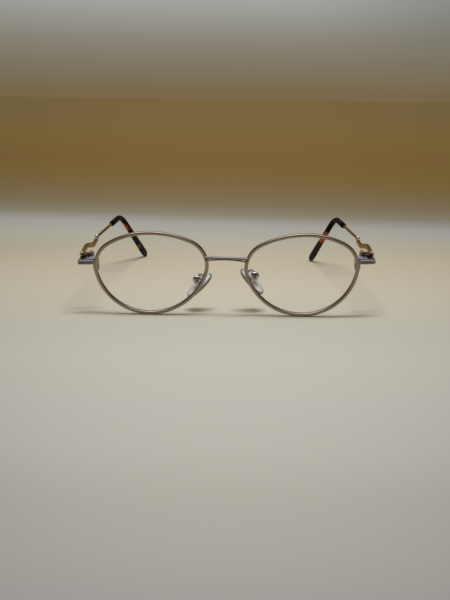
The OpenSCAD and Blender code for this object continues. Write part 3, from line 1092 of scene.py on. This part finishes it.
    def end_piece(self, side: Side, ribs: GrowTree, finish: bpy.types.Material,
                  shade_finish: bpy.types.Material) -> None:
        """Builds one end piece: the leg to the hinge, the ribs along its front and a shoulder."""
        label, place = side.label, self.place(side)
        body = softened(self.frame, f"end_piece_{label}", f"end_piece_{label}_soft", 0.2, 4)
        set_down(body, Body.FRONT, finish, "bright_metal", f"end_piece_{label}")
        seed = line_piece(f"end_ribs_{label}", [np.zeros(3)], joined=False)
        piece = ribs.run(
            seed, Count=2, Pitch=self.rib_pitch * MM, Length=self.rib_length * MM,
            Radius=self.rib_radius * MM, Material=finish)
        x, y = self.end_start()
        lowest_rib = (x + 3.3, y + 0.16, self.end_up - self.rib_pitch / 2)
        turn = place.matrix()
        turn.translation = Vector(place.carry([lowest_rib])[0]) * MM
        piece.data.transform(turn)
        if side is Side.RIGHT:
            piece.data.flip_normals()
        crisp(piece, 50)
        set_down(piece, Body.FRONT, finish, "bright_metal")
        self.shoulder(side, shade_finish)

    def shoulder(self, side: Side, finish: bpy.types.Material) -> None:
        """Builds the dark sloping cover over one end piece, thinner towards the hinge. Its dark
        finish is painted shade over the end piece's top.
        """
        x, y = self.end_start()
        inset, length, back, foot, half_wall = 0.3, 4.3, 1.3, 0.62, 0.42
        rings = []
        for share in (0.0, 0.04, 0.3, 0.6, 0.85, 0.97, 1.0):
            deep, rise = between(2.5, 0.8, share), between(1.5, 0.25, share)
            full = 0.8 if share in (0.0, 1.0) else 1.0
            ring = [
                (x - inset + length * share, y + back + deep / 2 + a,
                 self.end_up + foot + rise / 2 + b + a * rise / deep)
                for a, b in rounded_ring(deep / 2 * full, half_wall * full, 4.0, 24)]
            rings.append(self.place(side).carry(ring))
        piece = mesh_piece(f"end_shoulder_{side.label}", *loft(rings))
        crisp(piece, 60)
        set_down(piece, Body.FRONT, finish, "bright_metal")

    def blocks(self, side: Side, block: bpy.types.Material, hinge: bpy.types.Material) -> None:
        """Builds the two closing blocks and the front half of the hinge. The blocks' darker finish
        is painted shade: it makes them read as the dark line inside the rim.
        """
        label = side.label
        rounding = {"lock_upper": (0.25, block), "lock_lower": (0.25, block),
                    "hinge_front": (0.14, hinge)}
        for node, (width, finish) in rounding.items():
            piece = softened(self.frame, f"{node}_{label}", f"{node}_{label}_soft", width)
            set_down(piece, Body.FRONT, finish, "rim_metal", f"{node}_{label}")


# --------------------------------------------------------------------------------------
# Nose pads
# --------------------------------------------------------------------------------------


@dataclass
class NosePads:
    """Pad arms, pad boxes, cores and the silicone pads. Millimetres."""

    frame: dict[str, Any]
    front: Front
    arm_radius: float = 0.55
    box_radius: float = 2.1
    box_depth: float = 2.8
    pad_length: float = 15.5
    pad_width: float = 7.5
    pad_thickness: float = 2.3
    pad_below: float = 2.9
    pad_along: float = 1.3
    pad_behind: float = 1.3
    splay: float = 23.0

    def box_place(self, side: Side) -> Matrix:
        """Returns the pad box's own frame, in millimetres."""
        low, high = box_corners(f"pad_screw_{side.label}")
        box_low, box_high = box_corners(f"pad_box_{side.label}")
        centre = (low + high) / 2
        turn = side.pick(47.0, 44.0)
        return (
            Matrix.Translation((centre[0], (box_low[1] + box_high[1]) / 2, centre[2]))
            @ Matrix.Diagonal((side.value, 1, 1, 1))
            @ Matrix.Rotation(math.radians(turn), 4, "Y")
        )

    def arm(self, side: Side, wire: GrowTree, finish: bpy.types.Material) -> None:
        """Builds the bent wire that carries one pad box.

        It leaves the rim backwards, arches over and comes down on the box.
        """
        def step(out: float, back: float, up: float) -> Point:
            """Returns a step away from the nose, backwards and upwards."""
            return np.array([out * side.value, back, up])

        oval, pieces = self.front.oval, 40
        x, z = oval.point(side.pick(194, 205))
        root = self.front.place(side).carry([(x, oval.sag(x, z) + 0.75, z)])[0]
        end = np.array(self.box_place(side).translation) + step(-0.65, 0.0, 1.7)
        handles = (root + step(0.2, 4.0, 0.4), end + step(-0.7, 0.8, 1.8))
        line = [eased(root, *handles, end, k / pieces) for k in range(pieces + 1)]
        seed = line_piece(f"pad_arm_{side.label}_wire", line)
        piece = wire.run(seed, Radius=self.arm_radius * MM, Sides=20, Material=finish)
        piece.data.shade_smooth()
        set_down(piece, Body.FRONT, finish, "bright_metal", f"pad_arm_{side.label}")

    def box(self, side: Side, finish: bpy.types.Material) -> None:
        """Builds one pad box: a domed drum, flat below and slotted for the core's eye."""
        label, place = side.label, self.box_place(side)
        turns = np.arange(56) * 2 * math.pi / 56
        across, up = np.cos(turns), np.sin(turns)
        rings = []
        for share in np.linspace(-1, 1, 25):
            radius = self.box_radius * max(0.02, 1 - abs(share) ** 4.0) ** 0.42
            depth = np.full(len(turns), share * self.box_depth / 2)
            rings.append(np.stack([radius * across, depth, radius * up], axis=1))
        points, faces = loft(rings)
        piece = mesh_piece(f"pad_box_{label}_drum", moved(points, place), faces)
        carve(piece, place @ Matrix.Translation((0, 0, -3.7)), (8.0, 8.0, 5.0))
        carve(piece, place @ Matrix.Translation((0, 0, -1.3)), (2.7, 1.22, 5.4))
        crisp(piece, 45)
        set_down(piece, Body.FRONT, finish, "bright_metal", f"pad_box_{label}")

    def core(self, side: Side, finish: bpy.types.Material) -> None:
        """Builds the metal core that carries one pad."""
        label = side.label
        piece = softened(self.frame, f"pad_core_{label}", f"pad_core_{label}_soft", 0.1, 2)
        set_down(piece, Body.pad(side), finish, "bright_metal", f"pad_core_{label}")

    def pad(self, side: Side, finish: bpy.types.Material) -> None:
        """Builds one silicone pad: an egg-shaped cushion with a full, rounded edge."""
        rows, columns = 26, 96
        place = (
            self.box_place(side)
            @ Matrix.Translation((self.pad_along, self.pad_behind, -self.pad_below))
            @ Matrix.Rotation(math.radians(self.splay), 4, "X")
        )
        points: list[tuple[float, float, float]] = []
        rimness: list[float] = []
        for row in range(1, 2 * rows):
            angle = math.pi * row / (2 * rows) - math.pi / 2
            spread = abs(math.cos(angle)) ** 0.55
            height = math.sin(angle)
            height = math.copysign(abs(height) ** 0.9, height) * self.pad_thickness / 2
            for column in range(columns):
                turn = 2 * math.pi * column / columns
                c, s = math.cos(turn), math.sin(turn)
                x = self.pad_length / 2 * math.copysign(abs(c) ** 0.82, c) * spread
                y = self.pad_width / 2 * math.copysign(abs(s) ** 0.9, s) * (1 + 0.1 * c) * spread
                points.append((x, y, height))
                rimness.append(spread)
        faces = []
        for row in range(2 * rows - 2):
            here = row * columns
            for column in range(columns):
                after = (column + 1) % columns
                faces.append([here + column, here + after,
                              here + columns + after, here + columns + column])
        bottom, top = len(points), len(points) + 1
        points += [(0, 0, -self.pad_thickness / 2), (0, 0, self.pad_thickness / 2)]
        rimness += [0.0, 0.0]
        last = (2 * rows - 2) * columns
        for column in range(columns):
            after = (column + 1) % columns
            faces.append([bottom, after, column])
            faces.append([top, last + column, last + after])
        piece = mesh_piece(
            f"nose_pad_{side.label}_soft", moved(points, place), faces, {"rimness": rimness})
        set_down(piece, Body.pad(side), finish, "pad", f"nose_pad_{side.label}")


# --------------------------------------------------------------------------------------
# Temples
# --------------------------------------------------------------------------------------


@dataclass
class Temple:
    """One temple: waved plate, wire, tip, beads and its half of the hinge. Millimetres."""

    frame: dict[str, Any]
    side: Side
    reach: float = 93.0
    out: float = 4.6
    inwards: float = 5.2
    tip_inwards: float = 10.8
    wave_length: float = 39.0
    wave_rise: float = 1.5
    wave_height: float = 2.4
    thickness: float = 1.4
    round_off: float = 8.0
    sleeve: float = 14.0
    tip_diameter: float = 3.0
    paddle: float = 4.2
    tip_height: float = 0.55
    hole_share: float = 0.36
    hole_diameter: float = 1.2
    pin: Point = field(init=False)

    def __post_init__(self) -> None:
        """Reads the hinge pin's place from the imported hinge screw."""
        low, high = box_corners(f"hinge_screw_{self.side.label}")
        centre = (low + high) / 2
        self.pin = np.array([centre[0] * self.side.value, centre[1], low[2] + 1.7])

    @property
    def tip_run(self) -> float:
        """Returns how far behind the bend the tip ends."""
        return self.side.pick(25.0, 32.0)

    def wave(self, share: float) -> Point:
        """Returns a point of the waved plate's centre line."""
        climb = self.side.pick(0.8, 1.7)
        return self.pin + np.array([
            self.out - 0.8 * share,
            0.4 + self.wave_length * share,
            share * climb + self.wave_rise * math.sin(2 * math.pi * share),
        ])

    @property
    def corner(self) -> Point:
        """Returns the corner that the bend over the ear rounds off."""
        rise = self.side.pick(2.5, 3.9)
        return self.pin + np.array([self.out - self.inwards, self.reach, rise])

    @property
    def tip_end(self) -> Point:
        """Returns the tip's very end."""
        corner = self.corner
        return np.array([corner[0] - self.tip_inwards, corner[1] + self.tip_run, self.tip_height])

    def bend_in(self) -> Point:
        """Returns where the bend starts."""
        return self.corner + self.round_off * unit(self.wave(1) - self.corner)

    def bend_out(self) -> Point:
        """Returns where the bend ends."""
        return self.corner + self.round_off * unit(self.tip_end - self.corner)

    def sleeve_in(self) -> Point:
        """Returns where the tip's cover starts."""
        return self.bend_in() + self.sleeve * unit(self.wave(1) - self.bend_in())

    def bend_line(self, count: int) -> list[Point]:
        """Returns points round the bend."""
        start, corner, end = self.bend_in(), self.corner, self.bend_out()
        line = []
        for k in range(count):
            t = k / (count - 1)
            line.append(between(between(start, corner, t), between(corner, end, t), t))
        return line

    def mirrored(self, points: Iterable[Point]) -> list[Point]:
        """Returns points moved to this temple's side."""
        return [np.array([p[0] * self.side.value, p[1], p[2]]) for p in points]

    def plate_height(self, share: float) -> float:
        """Returns half the waved plate's height at a share of its length."""
        tall, thin, at_root, narrows = self.wave_height / 2, self.thickness / 2, 1.1, 0.72
        grown = at_root + (tall - at_root) * min(1.0, share * 5)
        return grown - (tall - thin) * max(0.0, (share - narrows) / 0.28) ** 2

    def bar(self, finish: bpy.types.Material) -> None:
        """Builds the waved plate with its hole and the wire behind it."""
        line, sizes = [], []
        for k in range(97):
            share = k / 96
            line.append(self.wave(share))
            squareness = between(5.0, 2.0, max(0.0, (share - 0.8) / 0.2))
            sizes.append((self.thickness / 2, self.plate_height(share), squareness))
        for k in range(1, 17):
            line.append(between(self.wave(1), self.sleeve_in(), k / 16))
            sizes.append((self.thickness / 2, self.thickness / 2, 2.0))
        line.append(self.sleeve_in() + 1.5 * unit(self.bend_in() - self.sleeve_in()))
        sizes.append((self.thickness / 2, self.thickness / 2, 2.0))
        piece = mesh_piece(
            f"temple_{self.side.label}_bar", *loft(swept_rings(self.mirrored(line), sizes, 28)))
        hole = Matrix.Translation(self.mirrored([self.wave(self.hole_share)])[0])
        carve(piece, hole @ Matrix.Rotation(math.pi / 2, 4, "Y"),
              (self.hole_diameter, self.hole_diameter, 6.0), round_bit=True)
        crisp(piece, 45)
        set_down(piece, Body.temple(self.side), finish, "temple_metal", f"temple_{self.side.label}")

    def tip(self, finish: bpy.types.Material) -> None:
        """Builds the tortoise cover: round over the temple, broad and flat at its end."""
        stops = [0.0, 0.15, 0.35, 0.6, 0.8, 0.9, 0.955, 0.985, 1.0]
        widths = [0.5, 0.5, 0.5, 0.48, 0.46, 0.45, 0.41, 0.33, 0.15]
        heights = [0.5, 0.5, 0.53, 0.62, 0.7, 0.7, 0.58, 0.4, 0.17]
        full, tall = self.tip_diameter, self.paddle / 1.4
        line = [self.sleeve_in(), self.sleeve_in() + 0.12 * unit(self.bend_in() - self.sleeve_in())]
        sizes = [(full * 0.42, full * 0.42, 2.0), (full * 0.49, full * 0.49, 2.0)]
        for k in range(1, 12):
            line.append(between(self.sleeve_in(), self.bend_in(), k / 12))
            sizes.append((full / 2, full / 2, 2.0))
        for point in self.bend_line(33):
            line.append(point)
            sizes.append((full / 2, full / 2, 2.0))
        grid = sorted(set(np.linspace(0.02, 0.9, 40)) | set(np.linspace(0.9, 1.0, 26)))
        for share in grid:
            line.append(between(self.bend_out(), self.tip_end, share * 0.9985))
            width = np.interp(share, stops, widths) * full
            high = np.interp(share, stops, heights)
            height = high * tall if share > 0.15 else between(0.5 * full, 0.5 * tall, share / 0.15)
            sizes.append((width, height, between(2.0, 2.5, min(1.0, share * 2))))
        piece = mesh_piece(
            f"tip_{self.side.label}_cover", *loft(swept_rings(self.mirrored(line), sizes, 32)))
        crisp(piece, 60)
        set_down(piece, Body.temple(self.side), finish, "tip", f"tip_{self.side.label}")

    def collars(self, finish: bpy.types.Material) -> None:
        """Builds the two narrow bands round the waved plate, at its root and before its end."""
        for name, start, end in (("root", 0.005, 0.04), ("end", 0.885, 0.912)):
            line, sizes = [], []
            for k, swell in enumerate((0.02, 0.2, 0.26, 0.26, 0.2, 0.02)):
                share = between(start, end, k / 5)
                line.append(self.wave(share))
                sizes.append((self.thickness / 2 + swell, self.plate_height(share) + swell, 3.0))
            piece = mesh_piece(f"collar_{name}_{self.side.label}",
                               *loft(swept_rings(self.mirrored(line), sizes, 28)))
            crisp(piece, 50)
            set_down(piece, Body.temple(self.side), finish, "bright_metal")

    def beads(self, finish: bpy.types.Material) -> None:
        """Builds the two small balls soldered to the waved plate."""
        label = self.side.label
        for name in ("bead_front", "bead_rear"):
            low, high = box_corners(f"{name}_{label}")
            piece = ball(f"{name}_{label}_ball", (low + high) / 2, (high[2] - low[2]) / 2 * 0.99)
            set_down(piece, Body.temple(self.side), finish, "bright_metal", f"{name}_{label}")

    def hinge(self, finish: bpy.types.Material) -> None:
        """Builds the temple's half of the hinge."""
        label = self.side.label
        piece = softened(self.frame, f"hinge_temple_{label}", f"hinge_temple_{label}_soft", 0.12)
        set_down(piece, Body.temple(self.side), finish, "temple_metal", f"hinge_temple_{label}")


# --------------------------------------------------------------------------------------
# Screws
# --------------------------------------------------------------------------------------


@dataclass
class Screws:
    """All the slotted screws, by the way their heads face. Millimetres."""

    head_radius: float = 0.95
    shank_radius: float = 0.5
    slot_width: float = 0.28

    def pairs(self, stem: str) -> list[tuple[Point, Point]]:
        """Returns the two boxes of a pair of screws."""
        return [box_corners(f"{stem}_{side.label}") for side in Side]

    def upright(self, tree: GrowTree, finish: bpy.types.Material) -> None:
        """Builds the hinge screws, heads up."""
        heads = [np.array([(a[0] + b[0]) / 2, (a[1] + b[1]) / 2, b[2] - 0.55])
                 for a, b in self.pairs("hinge_screw")]
        self.set_in(tree, "hinge_screw", heads, 0.55, 3.4, (0.0, 0.0, 0.5), finish)

    def facing(self, tree: GrowTree, finish: bpy.types.Material) -> None:
        """Builds the pad screws, heads to the front."""
        heads = [np.array([(a[0] + b[0]) / 2, a[1] + 0.5, (a[2] + b[2]) / 2])
                 for a, b in self.pairs("pad_screw")]
        self.set_in(tree, "pad_screw", heads, 0.5, 2.8, (math.pi / 2, 0.6, 0.0), finish)

    def hanging(self, tree: GrowTree, finish: bpy.types.Material) -> None:
        """Builds the closing-block screws, heads down."""
        heads = [np.array([(a[0] + b[0]) / 2, (a[1] + b[1]) / 2 + 0.2, a[2] + 0.6])
                 for a, b in self.pairs("lock_screw")]
        turn = (math.pi + math.radians(7), 0.0, 0.0)
        self.set_in(tree, "lock_screw", heads, 0.5, 3.9, turn, finish)

    def set_in(self, tree: GrowTree, stem: str, heads: list[Point], rise: float, length: float,
               turn: tuple[float, float, float], finish: bpy.types.Material) -> None:
        """Sets one screw on each point and hands the pair over.

        Args:
            tree: the tree that makes the screws.
            stem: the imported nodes' name without its side.
            heads: the undersides of the heads.
            rise: height of a head.
            length: length of a shank.
            turn: how a head is turned, in radians.
            finish: the screws' finish.
        """
        seed = line_piece(f"{stem}s", heads, joined=False)
        piece = tree.run(
            seed, Head_Radius=self.head_radius * MM, Head_Height=rise * MM,
            Shank_Radius=self.shank_radius * MM, Shank_Length=length * MM,
            Slot_Width=self.slot_width * MM, Turn=turn, Material=finish)
        crisp(piece, 40)
        set_down(piece, Body.FRONT, finish, "screw", *(f"{stem}_{side.label}" for side in Side))


# --------------------------------------------------------------------------------------
# Studio
# --------------------------------------------------------------------------------------


@dataclass
class Studio:
    """Floor, world, lamp and camera. Metres."""

    eye: tuple[float, float, float] = (0.00174, -0.4108, 0.1007)
    yaw: float = 0.35
    pitch: float = 15.016
    roll: float = -0.741
    lens: float = 46.8
    given_light: Colour = (1.0, 0.9, 0.7, 1.0)
    lamp_place: tuple[float, float, float] = (0.03, -0.15, 0.75)
    lamp_aim: tuple[float, float, float] = (0.0, -0.04, 0.0)

    def camera(self) -> None:
        """Sets the camera at its standing place."""
        data = bpy.data.cameras.new("camera")
        data.lens, data.sensor_width, data.clip_start, data.clip_end = self.lens, 36.0, 0.01, 30.0
        camera = bpy.data.objects.new("camera", data)
        turn = (
            Matrix.Rotation(math.radians(self.yaw), 4, "Z")
            @ Matrix.Rotation(math.radians(-self.pitch), 4, "X")
            @ Matrix.Rotation(math.radians(self.roll), 4, "Y")
            @ Matrix.Rotation(math.pi / 2, 4, "X")
        )
        camera.matrix_world = Matrix.Translation(self.eye) @ turn
        bpy.context.scene.collection.objects.link(camera)
        bpy.context.scene.camera = camera

    def floor(self) -> None:
        """Lays a pale floor that runs off into a warm brown distance. Near the eyeglasses its
        colour holds a painted pool of light and painted shade towards the sides; the far part
        glows.
        """
        mesh = bpy.data.meshes.new("floor")
        mesh.from_pydata([(-9, -4, 0), (9, -4, 0), (9, 9.5, 0), (-9, 9.5, 0)], [], [(0, 1, 2, 3)])
        floor = linked("floor", mesh)
        surface = Surface("pale_floor")
        bench = surface.bench
        across, depth, _ = bench.split(surface.place)
        # Painted pool of light: the near colours brighten towards the eyeglasses and darken towards
        # the front.
        near = bench.ramp(self.near_tones(), (depth + 0.3) / 0.5)
        away = ((depth + 0.085 * across - 0.12) / 2.4).highest(0.0) ** 0.8
        far = bench.ramp(self.far_tones(), away)
        # Painted shade: the floor's colour darkens towards the sides, fading out towards the front.
        slant = across / (depth + 0.43).highest(0.13)
        shade = (1.0 - 1.4 * (slant * slant)).highest(0.87)
        shade = 1.0 - (1.0 - shade) * depth.smooth(-0.42, -0.2)
        matte = bench.make("ShaderNodeBsdfDiffuse", None, {"Color": bench.dimmed(near, shade)})
        glow = bench.make("ShaderNodeEmission", None, {"Color": bench.dimmed(far, shade)})
        shown = bench.seen() * depth.smooth(0.08, 0.17)
        mixed = bench.make(
            "ShaderNodeMixShader", None, {0: shown, 1: matte.outputs[0], 2: glow.outputs[0]})
        bench.feed(surface.output.inputs["Surface"], mixed.outputs[0])
        mesh.materials.append(surface.material)

    @staticmethod
    def near_tones() -> list[tuple[float, Colour]]:
        """Returns the floor's colours from close by to just behind the eyeglasses, with a painted
        pool of light: brightest round the eyeglasses, darker towards the front.
        """
        return tones(
            (0.058, 163, 162, 157), (0.091, 169, 169, 161), (0.136, 174, 174, 164),
            (0.194, 183, 183, 173), (0.269, 187, 187, 177), (0.35, 190, 190, 178),
            (0.428, 190, 188, 175), (0.57, 197, 191, 170), (0.72, 193, 185, 162),
            (0.853, 182, 177, 160))

    @staticmethod
    def far_tones() -> list[tuple[float, Colour]]:
        """Returns the floor's colours from behind the eyeglasses to the brown distance."""
        return tones(
            (0.0, 180, 177, 162), (0.058, 164, 163, 156), (0.091, 138, 131, 113),
            (0.126, 128, 114, 88), (0.164, 126, 107, 76), (0.208, 123, 103, 66),
            (0.26, 123, 100, 58), (0.36, 122, 98, 57), (0.57, 124, 101, 59),
            (1.0, 121, 101, 64))

    @staticmethod
    def haze_tones() -> list[tuple[float, Colour]]:
        """Returns the colours behind the eyeglasses, from the floor's edge to overhead."""
        return tones(
            (0.0, 122, 105, 76), (0.0128, 124, 112, 88), (0.0364, 129, 122, 104),
            (0.0597, 138, 133, 121), (0.0825, 151, 150, 143), (0.1016, 162, 163, 157),
            (0.2, 150, 148, 142), (0.5, 150, 153, 160), (0.8, 215, 228, 245),
            (1.0, 232, 242, 255))

    @staticmethod
    def room_tones() -> list[tuple[float, Colour]]:
        """Returns the colours in front of the eyeglasses, from the floor's edge to overhead."""
        return tones(
            (0.0, 60, 47, 35), (0.3, 38, 30, 25), (0.6, 46, 40, 36),
            (0.82, 200, 212, 228), (1.0, 232, 242, 255))

    def world(self) -> None:
        """Lights the scene softly; behind it is a warm haze, in front a darker room."""
        world = bpy.data.worlds.new("room")
        bpy.context.scene.world = world
        world.use_nodes = True
        tree = world.node_tree
        tree.nodes.clear()
        bench = NodeBench(tree)
        across, along, up = bench.split(bench.make("ShaderNodeTexCoord").outputs["Generated"])
        haze = bench.ramp(self.haze_tones(), up.highest(0.0))
        room = bench.ramp(self.room_tones(), up.highest(0.0))
        slant = across / along.highest(0.2)
        shade = 1.0 - (slant * slant).smooth(0.0, 0.2) * 0.16
        shade = shade - slant.smooth(0.05, 0.3) * up.smooth(0.0, 0.11) * 0.26
        around = bench.blend(along.smooth(-0.25, 0.2), room, bench.dimmed(haze, shade))
        bright = 1.0 + 2.4 * up.smooth(0.78, 0.93)
        shown = bench.make("ShaderNodeBackground", None, {"Color": around, "Strength": bright})
        given = bench.make(
            "ShaderNodeBackground", None, {"Color": self.given_light, "Strength": 0.37})
        mixed = bench.make(
            "ShaderNodeMixShader", None,
            {0: bench.seen(), 1: given.outputs[0], 2: shown.outputs[0]})
        output = bench.make("ShaderNodeOutputWorld")
        bench.feed(output.inputs["Surface"], mixed.outputs[0])

    def lamp(self) -> None:
        """Hangs one soft lamp overhead, a little in front."""
        data = bpy.data.lights.new("soft_lamp", "AREA")
        data.shape, data.size, data.size_y = "RECTANGLE", 0.45, 0.12
        data.energy = 3.97
        data.color = (1.0, 1.023, 1.128)
        lamp = bpy.data.objects.new("soft_lamp", data)
        place = Vector(self.lamp_place)
        turn = (Vector(self.lamp_aim) - place).to_track_quat("-Z", "Y").to_matrix().to_4x4()
        lamp.matrix_world = Matrix.Translation(place) @ turn
        lamp.visible_glossy = False
        bpy.context.scene.collection.objects.link(lamp)

    def build(self) -> None:
        """Builds the whole studio."""
        self.floor()
        self.world()
        self.lamp()
        self.camera()
        bpy.context.scene.view_settings.view_transform = "Standard"


# --------------------------------------------------------------------------------------
# The whole
# --------------------------------------------------------------------------------------


def finishes() -> dict[str, bpy.types.Material]:
    """Builds every finish once and returns them by a short name."""
    metals = {
        "rim": PlatedMetal(
            "champagne_plating", (0.29, 0.205, 0.128, 1), (0.21, 0.145, 0.09, 1), roughness=0.1),
        "bright": PlatedMetal(
            "bright_silver", (0.62, 0.57, 0.55, 1), (0.38, 0.33, 0.30, 1), roughness=0.05),
        "rose": PlatedMetal(
            "rose_silver", (0.21, 0.165, 0.15, 1), (0.15, 0.11, 0.1, 1), roughness=0.1),
        "gold": PlatedMetal(
            "antique_gold", (0.29, 0.17, 0.04, 1), (0.17, 0.095, 0.025, 1), roughness=0.2,
            wear=0.5, lacquer=0.0, edge=(0.86, 0.68, 0.48, 1)),
        "brace": PlatedMetal(
            "pale_gold", (0.36, 0.22, 0.07, 1), (0.2, 0.115, 0.035, 1), roughness=0.15),
        # Painted shade: a near-black metal for the cover over each end piece.
        "smoke": PlatedMetal(
            "smoked_silver", (0.075, 0.07, 0.078, 1), (0.05, 0.045, 0.045, 1), roughness=0.2,
            wear=0.4, lacquer=0.2, edge=(0.5, 0.5, 0.55, 1)),
        "screw": PlatedMetal(
            "dark_steel", (0.13, 0.115, 0.11, 1), (0.08, 0.07, 0.065, 1), roughness=0.2),
    }
    made = {key: metal.build() for key, metal in metals.items()}
    made["tip"] = Tortoise().build()
    made["lens"] = ClearLens().build()
    made["pad"] = SoftSilicone().build()
    return made


def main() -> None:
    """Builds the eyeglasses and the studio round them."""
    logging.basicConfig(level=logging.INFO, format="%(message)s")
    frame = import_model()
    finish = finishes()
    wire, ribs, screws = wire_tree(), rib_tree(), screw_tree()
    front = Front(frame)
    pads = NosePads(frame, front)
    front.bridge(finish["rose"], finish["brace"])
    for side in Side:
        front.rim(side, finish["rim"])
        front.lens(side, finish["lens"])
        front.end_piece(side, ribs, finish["rose"], finish["smoke"])
        # The closing blocks take the darker rose finish as painted shade inside the rim.
        front.blocks(side, finish["rose"], finish["rim"])
        pads.arm(side, wire, finish["bright"])
        pads.box(side, finish["bright"])
        pads.core(side, finish["bright"])
        pads.pad(side, finish["pad"])
        temple = Temple(frame, side)
        temple.bar(finish["gold"])
        temple.tip(finish["tip"])
        temple.collars(finish["rose"])
        temple.beads(finish["bright"])
        temple.hinge(finish["gold"])
    driven = Screws()
    driven.upright(screws, finish["bright"])
    driven.facing(screws, finish["screw"])
    driven.hanging(screws, finish["screw"])
    Studio().build()


if __name__ == "__main__":
    main()
